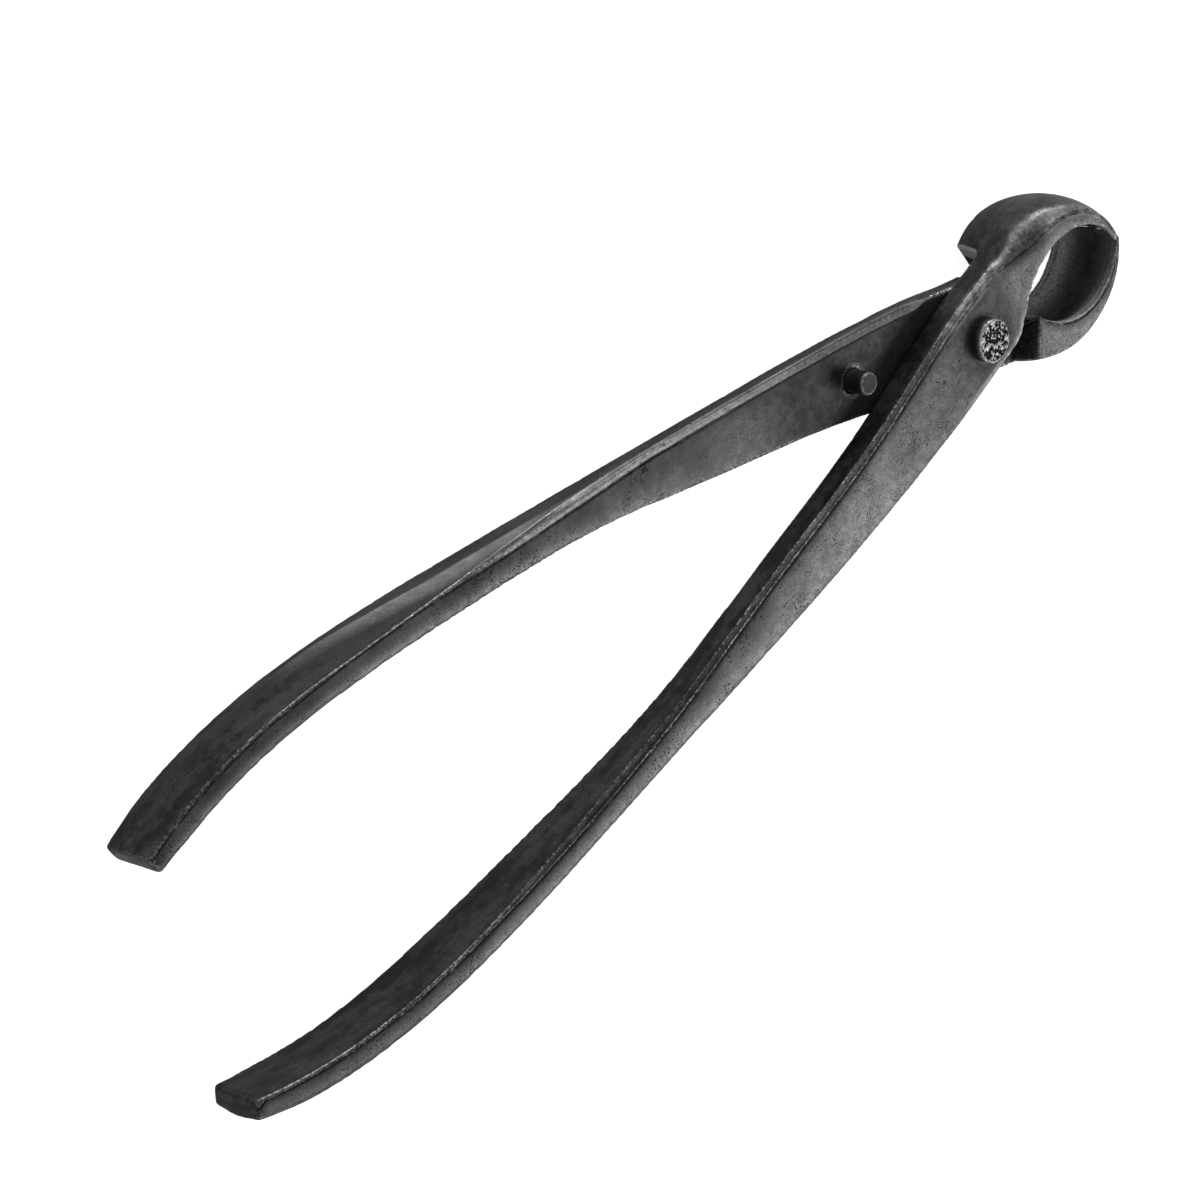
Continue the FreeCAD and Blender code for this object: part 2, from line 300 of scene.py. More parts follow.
class Forging:
    """A lever's fine mesh, and where its points are on the forging.

    local is each point's place from the pivot, and facing its normal, both with the far lever
    turned into the near one's place. back is the distance back from the pivot. co is where the
    points have been moved to so far. looks holds what the material reads at each point.
    """

    def __init__(self, node, side):
        self.side = side
        self.turn = np.array([1.0, side, side])
        self.obj = remeshed(node, node + "_forged")
        self.mesh = self.obj.data
        self.net = Neighbours(self.mesh)
        self.half = np.full(self.net.count, 0.5)
        self.local = sharp_edge((self.soften(points_of(self.mesh), 3) - PIVOT) * self.turn)
        self.co = self.local * self.turn + PIVOT
        set_points(self.mesh, self.co)
        self.back = -self.local[:, 0]
        self.facing = normals_of(self.mesh) * self.turn
        self.from_middle = np.linalg.norm(self.local[:, :2] - HOLLOW, axis=1)
        self.worn = step(self.soften(self.bend(), 2), 0.022, 0.055)
        self.looks = {"back": self.back / MM}

    def soften(self, values, rounds):
        return self.net.relax(values, rounds, self.half)

    def along(self, low, high):
        """Smooth change from 0 to 1 between two distances back from the pivot, in millimetres."""
        return step(self.back, low * MM, high * MM)

    def bend(self):
        """How sharply the surface turns at each point: more than 0 on edges."""
        away = self.net.mean(self.co) - self.co
        return -np.einsum("ij,ij->i", away, normals_of(self.mesh)) / VOXEL

    def find_faces(self):
        """The two broad faces, and how far each point is from the edge where scale is thickest."""
        y = self.local[:, 1]
        self.near = self.facing[:, 2] > 0.0
        self.on_far = self.facing[:, 2] < -0.9
        on_near = (self.facing[:, 2] > 0.9) & (self.local[:, 2] > NEAR_FACE)
        near_inner = row_ends(self.local, on_near, np.max)
        near_outer = row_ends(self.local, on_near, np.min)
        far_inner = row_ends(self.local, self.on_far, np.max)
        self.far_outer = row_ends(self.local, self.on_far, np.min)
        self.crease = np.where(self.near, near_inner - y, y - self.far_outer)
        width = np.where(self.near, near_inner - near_outer, far_inner - self.far_outer)
        across = np.clip(self.crease / np.maximum(width, 1.0 * MM), 0.0, 1.0)
        # painted shade: the far face is darker across, most of all on the ramp
        ramp = self.along(48.0, 62.0) * (1.0 - self.along(76.0, 96.0))
        self.across = np.where(self.near, across, across ** 1.8 * (1.0 - 0.35 * ramp))
        self.face = self.soften(step(np.abs(self.facing[:, 2]), 0.80, 0.96), 1)

    def find_bevel(self):
        """The bevel along the far face's outer edge: cut is its depth, from 0 to 1."""
        below = row_ends(self.local[:, [0, 2]], self.on_far, np.median)    # the far face's height
        tall = BEVEL_TALL - BEVEL_LOSS * self.along(72.0, 100.0)
        inward = (self.local[:, 1] - self.far_outer) / BEVEL_WIDE
        upward = (self.local[:, 2] - below) / tall
        size = self.along(4.0, 9.0) * (1.0 - self.along(92.0, 126.0))
        cut = np.clip(size - inward - upward, 0.0, 1.0)
        beside_edge = (inward < 1.5) & (upward < 1.5)
        self.cut = cut * beside_edge * (size > 0.0)
        self.crease = np.where(self.near, self.crease, self.crease - size * BEVEL_WIDE)
        self.bevel = self.soften((self.cut > 0.02).astype(float), 2)

    def find_crest(self):
        """The crest along the crowned side: towards the far face, the side leans in.

        over is how far each point lies from the crest towards the far face.
        """
        over = np.interp(self.back / MM, CREST_BACK, CREST_HIGH) * MM - self.local[:, 2]
        side = (1.0 - self.face) * (self.facing[:, 1] < -0.3) * (self.back > 5.0 * MM)
        side *= 1.0 - self.along(130.0, 152.0)
        facet = self.soften(step(over, -0.2 * MM, 0.25 * MM) * side, 1)
        self.facet = np.maximum(facet, self.bevel)
        fade = np.interp(self.back, [20.0 * MM, 70.0 * MM], [1.8 * MM, 4.2 * MM])
        # painted highlight on the facet towards the crest, and painted shade under the crest
        self.looks["facet_sheen"] = self.facet * (1.0 - np.clip(over / fade, 0.0, 1.0))
        self.looks["shade"] = self.soften((over < -0.1 * MM) * side, 2) * (1.0 - self.facet)
        self.looks["facet"] = self.facet
        lean = 0.5 * self.cut * BEVEL_WIDE
        lean += LEAN * np.clip(over, 0.0, 3.0 * MM) * side * (self.cut == 0.0)
        drop = 0.5 * self.cut * BEVEL_TALL
        self.co = self.co + np.stack([0.0 * lean, lean, drop], axis=1) * self.turn

    def find_lap_and_jaw(self):
        """The lap, the inside of the jaw, the chamfer and the near jaw's ground back."""
        x, y, z = self.local.T
        self.flat_lap = self.on_far & (np.abs(z) < 0.4 * MM) & (self.back < HANDLE_SIDE)
        self.lap = np.clip(self.soften(self.flat_lap.astype(float), 6), 0.0, 1.0)
        self.inside = 1.0 - step(self.from_middle, 14.0 * MM, 14.6 * MM)
        cup = (1.0 - step(self.from_middle, 12.6 * MM, 14.2 * MM)) * (1.0 - self.face)
        self.looks["cup"] = cup * step(x, 11.0 * MM, 13.0 * MM)
        sloping = (self.facing[:, 2] > 0.35) & (self.facing[:, 2] < 0.92) & (self.facing[:, 1] > 0.3)
        chamfer = sloping & (z > 3.0 * MM) & (self.from_middle > 14.0 * MM)
        chamfer = self.soften(chamfer.astype(float), 1) * (1.0 - self.along(45.0, 80.0))
        self.looks["band"] = np.maximum(chamfer, self.bevel * self.along(66.0, 82.0))
        ground = (self.facing[:, 0] < -0.75) & (x > 2.0 * MM) & (y > 8.0 * MM)
        self.looks["ground"] = self.soften(ground.astype(float), 2) * (self.side > 0.0)

    def round_edges(self):
        """Rounds the handle's edges and its end, and runs the arm into the ball."""
        from_seam = np.linalg.norm(self.local - SEAM, axis=1)
        at_seam = 1.0 - step(from_seam, 3.0 * MM, 6.8 * MM)
        at_seam = at_seam * step(self.from_middle, 12.8 * MM, 14.2 * MM)
        for rounds, share in (
            (5, step(self.back, LAP_SIDE, HANDLE_SIDE)),
            (24, step(self.back, *HANDLE_TIP)),
            (110, at_seam),
        ):
            self.co = self.net.relax(self.co, rounds, 0.5 * share)
        set_points(self.mesh, self.co)
        dulled = 0.75 * self.facet * (1.0 - self.along(84.0, 98.0))
        self.worn = self.worn * step(from_seam, 3.0 * MM, 6.0 * MM) * (1.0 - dulled)

    def find_jaw_crest(self):
        """The soft ridge that runs from the arm round the jaw."""
        up = normals_of(self.mesh)[:, 2] * self.side
        crest = step(self.soften(self.bend(), 12), 0.009, 0.028) * step(up, 0.0, 0.2)
        crest *= step(self.local[:, 0], -14.0 * MM, -2.0 * MM)
        crest *= step(self.from_middle, 12.9 * MM, 13.6 * MM)
        self.looks["crest"] = self.soften(crest, 2)

    def roughen(self):
        """Hammered unevenness, pits, nicks in the worn edges, crowned faces and the groove."""
        co = self.co
        free = 1.0 - self.lap
        patches = 0.5 + 0.5 * noise(co, size=7.0 * MM, seed=11)
        shallow = pits(co, size=1.1 * MM, chance=0.45, seed=23) * step(patches, 0.55, 0.8)
        deep = pits(co + 3.0 * MM, size=1.9 * MM, chance=0.08, seed=41)
        pit = np.maximum(shallow, deep) * free * (1.0 - 0.7 * self.inside)
        self.looks["pit"] = pit
        move = waves(co, LEVER_WAVES) * (1.0 - 0.8 * self.inside) - PIT_DEEP * pit
        crown = self.face * (2.0 * self.across - 1.0) ** 2 * self.along(-4.0, 10.0)
        move -= CROWN * crown
        nick = step(noise(co, size=1.6 * MM, seed=8), 0.35, 0.8) * self.worn * (1.0 - self.inside)
        move = move * free - NICK_DEEP * nick
        groove = 1.0 - step(np.abs(self.crease - GROOVE_IN), 0.05 * MM, 0.30 * MM)
        groove *= (self.facing[:, 2] > 0.5) * self.along(-9.0, -6.0) * (self.back < GROOVE_END)
        move -= GROOVE_DEEP * groove
        self.co = co + normals_of(self.mesh) * (move * MM)[:, None]

    def keep_clear(self):
        """Keeps the lap face and the cutting edge on their own side."""
        above_lap = (self.co[:, 2] - LAP_Z) * self.side
        close = self.flat_lap & (self.back > -10.0 * MM) & (above_lap < LAP_LIMIT)
        self.co[close, 2] = LAP_Z + self.side * LAP_LIMIT
        over_middle = self.co[:, 1] * self.side
        edge = (self.local[:, 0] > CUTTING_EDGE) & (over_middle < EDGE_LIMIT)
        self.co[edge, 1] = self.side * EDGE_LIMIT
        set_points(self.mesh, self.co)
        shade_smooth(self.mesh)

    def store_looks(self):
        self.looks["wear"] = self.worn
        self.looks["across"] = self.across
        self.looks["lap"] = self.lap
        self.looks["face"] = self.face
        self.looks["crease"] = self.crease / MM
        for name, values in self.looks.items():
            store(self.mesh, name, values)


def lever(node, side):
    """Forged lever with worn edges, unevenness and pits. side is +1 for the near one, or -1."""
    forging = Forging(node, side)
    forging.find_faces()
    forging.find_bevel()
    forging.find_crest()
    forging.find_lap_and_jaw()
    forging.round_edges()
    forging.find_jaw_crest()
    forging.roughen()
    forging.keep_clear()
    forging.store_looks()
    return forging.obj


# ---------------------------------------------------------------- rivet and pin


def lathe(name, rings, centre, segments):
    """Closed body of revolution about Z. rings are (radius, z) from the top middle down."""
    bm = bmesh.new()
    loops = []
    for radius, z in rings[1:-1]:
        loop = []
        for i in range(segments):
            a = 2.0 * math.pi * i / segments
            x = centre[0] + radius * math.cos(a)
            y = centre[1] + radius * math.sin(a)
            loop.append(bm.verts.new((x, y, z)))
        loops.append(loop)
    top = bm.verts.new((centre[0], centre[1], rings[0][1]))
    low = bm.verts.new((centre[0], centre[1], rings[-1][1]))
    for i in range(segments):
        j = (i + 1) % segments
        bm.faces.new((top, loops[0][i], loops[0][j]))
        bm.faces.new((low, loops[-1][j], loops[-1][i]))
        for a, b in zip(loops, loops[1:]):
            bm.faces.new((a[i], b[i], b[j], a[j]))
    mesh = mesh_from(bm, name)
    shade_smooth(mesh)
    return new_object(name, mesh)


def subdivide_rings(corners, length):
    """Adds rings between the corners so that none are further apart than length."""
    rings = [corners[0]]
    for (r0, z0), (r1, z1) in zip(corners, corners[1:]):
        n = max(1, math.ceil(math.hypot(r1 - r0, z1 - z0) / length))
        rings += [(r0 + (r1 - r0) * k / n, z0 + (z1 - z0) * k / n) for k in range(1, n + 1)]
    return rings


def rounded_rim(radius, top, edge):
    """Rings down a worn rim. edge has pairs of millimetres in from the rim and down."""
    return [(radius - inward * MM, top - down * MM) for inward, down in edge]


def from_axis(co, centre):
    """Distance of each point from an axis along Z through centre."""
    return np.linalg.norm(co[:, :2] - centre[:2], axis=1)


def rivet():
    """Pivot rivet with a hammered near head and a rounded far head."""
    low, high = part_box("pivot_rivet")
    head = (high[0] - low[0]) / 2
    far_rim = [
        (head - FAR_ROUND * (1 - math.cos(a)), low[2] + FAR_ROUND * (1 - math.sin(a)))
        for a in (0.0, 0.4, 0.8, 1.2, math.pi / 2)
    ]
    corners = [(0.0, high[2])] + rounded_rim(head, high[2], RIVET_EDGE)
    corners += [(head, SEAT_NEAR), (SHANK, SEAT_NEAR), (SHANK, SEAT_FAR), (head, SEAT_FAR)]
    corners += far_rim + [(0.0, low[2])]
    obj = lathe("rivet_hammered", subdivide_rings(corners, 0.09 * MM), PIVOT, segments=180)
    mesh = obj.data
    co = points_of(mesh)
    r = from_axis(co, PIVOT)
    top = step(co[:, 2], SEAT_NEAR + 0.2 * MM, high[2] - 0.35 * MM)
    dents = waves(co, HAMMER_WAVES)
    rim = step(r, head - 0.65 * MM, head - 0.3 * MM)
    relief = top * (HAMMER_DEEP * dents * (1 - 0.5 * rim) - SUNK * (1 - rim))
    far = 1.0 - step(co[:, 2], low[2], low[2] + 0.9 * MM)
    relief += far * (0.05 * noise(co, size=1.1 * MM, seed=14) - 0.05)
    # the heads are a little out of round
    uneven = 0.012 * noise(co * np.array([1.0, 1.0, 0.0]), size=2.2 * MM, seed=12)
    spread = 1.0 + uneven * (r > SHANK + 0.3 * MM)
    co = co + normals_of(mesh) * (relief * MM)[:, None]
    co[:, :2] = PIVOT[:2] + (co[:, :2] - PIVOT[:2]) * spread[:, None]
    set_points(mesh, co)
    store(mesh, "high", top * step(dents, -0.65, 0.85))
    store(mesh, "rim", top * step(r, head - 0.42 * MM, head - 0.2 * MM))
    store(mesh, "side", (r > head - 0.12 * MM) * (co[:, 2] > SEAT_NEAR) * (1.0 - top))
    return obj


def pin():
    """Stop pin with a worn rim, and peened flush at the back."""
    low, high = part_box("stop_pin")
    radius = (high[0] - low[0]) / 2
    shank = radius * PIN_SHANK
    corners = [(0.0, high[2] - PIN_DISH)] + rounded_rim(radius, high[2], PIN_EDGE)
    corners += [(shank, z) for z in (LAP_Z + 0.9 * MM, LAP_Z, low[2] + 0.3 * MM, low[2])]
    corners += [(0.0, low[2])]
    obj = lathe("stop_pin_worn", subdivide_rings(corners, 0.12 * MM), PIN_SEAT, segments=96)
    mesh = obj.data
    co = points_of(mesh)
    r = from_axis(co, PIN_SEAT)
    up = step(co[:, 2], LAP_Z, LAP_Z + 0.3 * MM)
    move = up * (waves(co, PIN_WAVES) - 0.02)
    co = co + normals_of(mesh) * (move * MM)[:, None]
    set_points(mesh, co)
    top = step(co[:, 2], high[2] - 0.5 * MM, high[2] - 0.15 * MM)
    store(mesh, "rim", top * step(r, radius - 0.45 * MM, radius - 0.2 * MM))
    store(mesh, "end", step(co[:, 2], high[2] - 0.25 * MM, high[2] - 0.1 * MM))
    return obj


# ---------------------------------------------------------------- materials


def grey(value):
    return (value, value, value)


BLACK = grey(0.008)                      # pits, specks and the painted shadow line in the groove
OXIDE = (0.042, 0.042, 0.045)            # the sides, where the oxide is whole
OXIDE_THIN = (0.140, 0.139, 0.140)       # and where it is rubbed thin
OXIDE_THICK_AND_SHADE = grey(0.030)                # thick oxide beside worn edges, and painted shade along creases and round the rivet
FACE_LAP = (0.064, 0.063, 0.062)         # the broad face's darkest grey beside the lap
FACE_LIT_PALE = (0.250, 0.245, 0.237)      # its palest grey, where the painted light is brightest
LAP_DARK = (0.050, 0.049, 0.049)         # the lap's brush marks
LAP_PALE = (0.070, 0.069, 0.068)
# painted shade on the lap
LAP_PAINTED_SHADE = grey(0.020)
JAW_NEAR = grey(0.40)                    # inside the jaw, at its near rim
JAW_FAR = grey(0.90)                     # and at its far rim, near white: painted light against the shade in the hollow
JAW_SPOT = grey(0.25)
FACET_DULL = grey(0.110)                 # the facet's painted light, away from the crest
FACET_SHEEN_LAP = (0.290, 0.290, 0.287)        # the facet's painted highlight, partly wear, at the crest beside the lap
FACET_SHEEN_HANDLE = (0.80, 0.80, 0.79)        # and on the handle
CREST_SHADE = (0.038, 0.038, 0.040)
GRIT = grey(0.040)
PIN_SEAT_SHADE = grey(0.018)                   # painted shade in the hollow round the pin
PIN_LIP = grey(0.16)                     # and the edge of that
SCRAPED = (0.20, 0.20, 0.198)            # flecks on the chamfer
CREST_HIGHLIGHT = (0.46, 0.46, 0.45)        # painted highlight on the jaw's crest
EDGE_BRIGHT = (0.62, 0.62, 0.61)
JAW_BACK = (0.70, 0.70, 0.69)            # the near jaw's ground back


class Graph:
    """Short names for the shader nodes that the materials here need."""

    def __init__(self, name):
        self.material = bpy.data.materials.new(name)
        self.material.use_nodes = True
        self.tree = self.material.node_tree
        self.tree.nodes.clear()
        out = self.tree.nodes.new("ShaderNodeOutputMaterial")
        self.shader = self.tree.nodes.new("ShaderNodeBsdfPrincipled")
        self.tree.links.new(self.shader.outputs[0], out.inputs[0])
        place = self.tree.nodes.new("ShaderNodeTexCoord").outputs["Object"]
        scale = self.node("ShaderNodeVectorMath", {0: place, "Scale": 1.0 / MM}, operation="SCALE")
        self.mm = scale.outputs[0]

    def put(self, value, socket):
        """Links a socket to another, or gives it a value."""
        if isinstance(value, bpy.types.NodeSocket):
            self.tree.links.new(value, socket)
        else:
            socket.default_value = value

    def node(self, kind, inputs, **settings):
        n = self.tree.nodes.new(kind)
        for key, value in settings.items():
            setattr(n, key, value)
        for key, value in inputs.items():
            self.put(value, n.inputs[key])
        return n

    def vector(self, operation, a, b):
        return self.node("ShaderNodeVectorMath", {0: a, 1: b}, operation=operation).outputs[0]

    def stretched(self, factors):
        """Places for noise that is finer by these factors along X, Y and Z."""
        return self.vector("MULTIPLY", self.mm, factors)

    def noise(self, size, detail, rough, where=None):
        """Noise from 0 to 1 with features about size millimetres wide."""
        inputs = {"Vector": where or self.mm, "Scale": 1.0 / size, "Detail": detail,
                  "Roughness": rough}
        return self.node("ShaderNodeTexNoise", inputs).outputs["Fac"]

    def cells(self, size):
        """Distance to the nearest of points scattered size millimetres apart."""
        inputs = {"Vector": self.mm, "Scale": 1.0 / size}
        return self.node("ShaderNodeTexVoronoi", inputs).outputs["Distance"]

    def distance(self, centre):
        """Distance in millimetres from an axis along Z through centre."""
        away = self.vector("SUBTRACT", self.mm, tuple(centre))
        flat = self.vector("MULTIPLY", away, (1.0, 1.0, 0.0))
        length = self.node("ShaderNodeVectorMath", {0: flat}, operation="LENGTH")
        return length.outputs["Value"]

    def height(self):
        """Z in millimetres."""
        return self.node("ShaderNodeSeparateXYZ", {0: self.mm}).outputs["Z"]

    def stored(self, name):
        """What the mesh holds under this name at each point."""
        return self.node("ShaderNodeAttribute", {}, attribute_name=name).outputs["Fac"]

    def math(self, operation, a, b=0.0):
        return self.node("ShaderNodeMath", {0: a, 1: b}, operation=operation).outputs[0]

    def times(self, a, b):
        return self.math("MULTIPLY", a, b)

    def plus(self, a, b):
        return self.math("ADD", a, b)

    def less(self, a, b):
        return self.math("SUBTRACT", a, b)

    def most(self, a, b):
        return self.math("MAXIMUM", a, b)

    def apart(self, a, b):
        """Difference without its sign."""
        return self.math("ABSOLUTE", self.less(a, b))

    def step(self, value, low, high, to_low=0.0, to_high=1.0):
        """Smooth change from to_low, where value is low, to to_high, where it is high."""
        inputs = {"Value": value, "From Min": low, "From Max": high, "To Min": to_low,
                  "To Max": to_high}
        n = self.node("ShaderNodeMapRange", inputs, interpolation_type="SMOOTHSTEP")
        return n.outputs[0]

    def mix(self, share, a, b):
        """Colour from a, where share is 0, to b, where it is 1."""
        n = self.node("ShaderNodeMix", {}, data_type="RGBA")
        self.put(share, n.inputs[0])
        for key, colour in ((6, a), (7, b)):
            self.put((*colour, 1.0) if isinstance(colour, tuple) else colour, n.inputs[key])
        return n.outputs[2]

    def bump(self, height, distance, strength):
        inputs = {"Height": height, "Distance": distance * MM, "Strength": strength}
        return self.node("ShaderNodeBump", inputs).outputs[0]

    def finish(self, **inputs):
        for key, value in inputs.items():
            self.put(value, self.shader.inputs[key.replace("_", " ")])
        return self.material


class ForgedSteel(Graph):
    """Black oxide over forging marks, grey with painted light and shade on the broad faces, and
    rubbed bright on the edges.

    back, crease and sizes are in millimetres. The other stored values go from 0 to 1.
    """

    def __init__(self):
        super().__init__("forged_steel_worn")
        self.mottle = self.noise(1.6, 5.0, 0.68)
        self.grain = self.noise(0.28, 3.0, 0.7)
        self.brush = self.noise(1.0, 3.0, 0.6, self.stretched((4.0, 0.2, 0.2)))
        broad = self.noise(9.0, 3.0, 0.6)
        self.patch = self.plus(self.times(broad, 0.6), self.times(self.mottle, 0.4))
        self.wear = self.stored("wear")
        self.face = self.stored("face")
        self.lap = self.stored("lap")
        self.back = self.stored("back")
        self.crease = self.stored("crease")
        self.across = self.stored("across")
        self.cup = self.stored("cup")
        self.ground = self.stored("ground")

    def oxide(self):
        """Smooth black oxide, rubbed thin in long patches."""
        streaks = self.noise(1.0, 3.0, 0.6, self.stretched((0.07, 0.35, 0.35)))
        drawn = self.plus(self.times(streaks, 0.6), self.times(self.mottle, 0.4))
        return self.mix(self.step(drawn, 0.40, 0.62), OXIDE, OXIDE_THIN)

    def broad_faces(self, colour):
        """Grey broad faces with painted light across them: painted shade along the crease and beside
        the rivet, and darker towards both ends.
        """
        # painted shade round the rivet, times a darkening towards the handle's end
        by_rivet = self.step(self.back, 2.0, 38.0, 0.22, 1.0)
        by_arm = self.step(self.back, -4.0, -10.0, 0.28, 1.15)
        by_end = self.step(self.back, 165.0, 85.0, 0.75, 1.0)
        rivet_shade_and_end_dim = self.times(self.most(by_rivet, by_arm), by_end)
        # the painted light gradient goes by share of the width on the handle, and by distance on the
        # lap
        on_lap = self.step(self.back, 66.0, 40.0)
        by_share = self.times(self.step(self.across, 0.10, 0.88), self.less(1.0, on_lap))
        by_distance = self.times(self.step(self.crease, 0.1, 2.8), on_lap)
        light_and_patches = self.times(self.plus(by_share, by_distance), 0.72)
        light_and_patches = self.plus(light_and_patches, self.step(self.patch, 0.38, 0.62, 0.0, 0.30))
        # painted light: brighter again towards the edge away from the crease
        light_and_patches = self.plus(light_and_patches, self.times(self.step(self.across, 0.66, 0.95), 0.35))
        darkest = self.mix(on_lap, OXIDE_THICK_AND_SHADE, FACE_LAP)
        top = self.mix(self.times(light_and_patches, rivet_shade_and_end_dim), darkest, FACE_LIT_PALE)
        return self.mix(self.face, colour, top)

    def ground_lap(self, colour):
        """The lap, ground across and blackened, with painted shade between the handle and the pin.
        """
        lap = self.mix(self.step(self.brush, 0.35, 0.65), LAP_DARK, LAP_PALE)
        # painted shade on the lap between the handle and the pin, lighter again near the pin
        by_handle = self.step(self.back, 50.0, 36.0, 0.0, 0.65)
        by_pin = self.step(self.back, 16.0, 28.0, 0.2, 1.0)
        lap = self.mix(self.times(by_handle, by_pin), lap, LAP_PAINTED_SHADE)
        return self.mix(self.times(self.lap, self.step(self.back, 62.0, 36.0)), colour, lap)

    def inside_of_jaw(self, colour):
        """The jaw's inside, painted paler towards the far side to lift the shade deep in the hollow.
        """
        deep = self.step(self.height(), LAP_Z / MM + 4.0, LAP_Z / MM - 4.0)
        hollow = self.mix(deep, JAW_NEAR, JAW_FAR)
        hollow = self.mix(self.step(self.mottle, 0.35, 0.65, 0.0, 0.12), hollow, JAW_SPOT)
        return self.mix(self.cup, colour, hollow)

    def crowned_side(self, colour):
        """Painted light on a pale facet, with a painted highlight that is partly wear on the crest's
        far side, painted shade on its near side, and grit over all.
        """
        facet_sheen = self.stored("facet_sheen")
        facet = self.times(self.stored("facet"), self.step(self.patch, 0.36, 0.60, 0.6, 1.0))
        sheen_colour = self.mix(self.step(self.back, 86.0, 102.0), FACET_SHEEN_LAP, FACET_SHEEN_HANDLE)
        colour = self.mix(facet, colour, self.mix(facet_sheen, FACET_DULL, sheen_colour))
        shade = self.times(self.stored("shade"), self.step(self.back, 75.0, 55.0, 0.0, 0.6))
        colour = self.mix(shade, colour, CREST_SHADE)
        grit = self.less(0.65, self.times(facet_sheen, 0.35))
        grit = self.times(self.step(self.grain, 0.36, 0.66), grit)
        return self.mix(grit, colour, GRIT)

    def round_rivet_and_pin(self, colour):
        """Painted shade round the rivet, and a dark seat of painted shade with a paler lip round the
        pin.
        """
        rivet_shade = self.times(self.step(self.distance(PIVOT / MM), 10.0, 3.9), self.face)
        from_pin = self.distance(PIN_SEAT / MM)
        # painted shade in the hollow round the pin
        seat_shade = self.times(self.step(from_pin, 2.75, 2.55), self.lap)
        lip = self.times(self.step(self.apart(from_pin, 2.72), 0.2, 0.08), self.lap)
        # painted contact shade round the rivet
        colour = self.mix(self.times(rivet_shade, 0.72), colour, OXIDE_THICK_AND_SHADE)
        colour = self.mix(self.times(seat_shade, 0.8), colour, PIN_SEAT_SHADE)
        return self.mix(self.times(lip, 0.5), colour, PIN_LIP)

    def specks(self):
        """Specks in clusters on the broad faces, and a few single pits anywhere."""
        cluster = self.step(self.noise(6.0, 4.0, 0.65), 0.50, 0.60)
        specks = self.times(self.step(self.noise(0.36, 1.0, 0.5), 0.40, 0.34), cluster)
        specks = self.times(specks, self.step(self.face, 0.3, 0.9, 0.25, 1.0))
        single = self.step(self.cells(2.3), 0.085, 0.05)
        single = self.times(single, self.step(self.mottle, 0.42, 0.52))
        return self.times(self.most(specks, single), self.less(1.0, self.times(self.lap, 0.8)))

    def groove_shadow_line(self):
        """A broken black line of painted shadow in the groove beside the chamfer, and beside the far
        face's bevel.
        """
        groove_shadow = self.times(self.step(self.apart(self.crease, 0.17), 0.27, 0.13), self.face)
        groove_shadow = self.times(groove_shadow, self.step(self.noise(3.0, 3.0, 0.6), 0.34, 0.46))
        return self.times(groove_shadow, self.less(1.0, self.lap))

    def scraped(self, colour):
        """The chamfer scraped pale in flecks, and a painted highlight in a soft band along the jaw's
        crest.
        """
        flecks = self.step(self.noise(0.7, 4.0, 0.75), 0.40, 0.60, 0.15, 0.75)
        colour = self.mix(self.times(self.stored("band"), flecks), colour, SCRAPED)
        # painted highlight along the jaw's crest, broken up by the mottle
        light_and_patches = self.step(self.mottle, 0.38, 0.58, 0.15, 0.75)
        return self.mix(self.times(self.stored("crest"), light_and_patches), colour, CREST_HIGHLIGHT)

    def worn_edges(self, colour, groove_shadow):
        """Edges worn bright in dots, with scale left dark beside them."""
        beside = self.times(self.step(self.wear, 0.05, 0.35), self.step(self.wear, 0.75, 0.45))
        colour = self.mix(self.times(beside, 0.55), colour, OXIDE_THICK_AND_SHADE)
        spotted = self.step(self.noise(0.5, 3.0, 0.8), 0.44, 0.62)
        long_patch = self.step(self.noise(6.0, 2.0, 0.5), 0.34, 0.62, 0.35, 1.0)
        bright = self.times(self.step(self.wear, 0.30, 0.85), self.times(spotted, long_patch))
        # the edge away from the crease keeps its scale, except on the arm and the lap
        bare = self.step(self.across, 0.9, 0.6, 0.12, 1.0)
        bare = self.most(bare, self.step(self.back, 2.0, -4.0))
        bare = self.most(bare, self.times(self.lap, self.step(self.back, 26.0, 40.0)))
        bright = self.times(self.times(bright, bare), self.step(self.back, 75.0, 115.0, 1.0, 0.6))
        return self.mix(self.times(bright, self.less(1.0, groove_shadow)), colour, EDGE_BRIGHT)


def forged_steel():
    """The forged steel's layers, one over another."""
    g = ForgedSteel()
    colour = g.broad_faces(g.oxide())
    colour = g.ground_lap(colour)
    colour = g.inside_of_jaw(colour)
    colour = g.crowned_side(colour)
    colour = g.round_rivet_and_pin(colour)
    dots = g.specks()
    groove_shadow = g.groove_shadow_line()
    dark = g.most(dots, g.step(g.stored("pit"), 0.15, 0.8, 0.0, 0.55))
    black = g.most(g.times(dark, 0.9), g.times(groove_shadow, 0.95))
    colour = g.mix(black, colour, BLACK)
    colour = g.worn_edges(g.scraped(colour), groove_shadow)
    colour = g.mix(g.ground, colour, JAW_BACK)

    rough = g.plus(g.step(g.mottle, 0.3, 0.7, 0.30, 0.48), g.times(black, 0.2))
    rough = g.plus(rough, g.times(g.face, 0.06))
    rough = g.plus(rough, g.times(g.cup, 0.2))
    metal = g.less(0.85, g.times(g.most(g.ground, g.cup), 0.70))
    height = g.plus(g.times(g.grain, 0.35), g.mottle)
    height = g.plus(height, g.times(g.times(g.brush, g.lap), 0.3))
    height = g.less(height, g.times(dots, 1.2))
    return g.finish(Base_Color=colour, Metallic=metal, Roughness=rough,
                    Normal=g.bump(height, 0.06, 0.65))


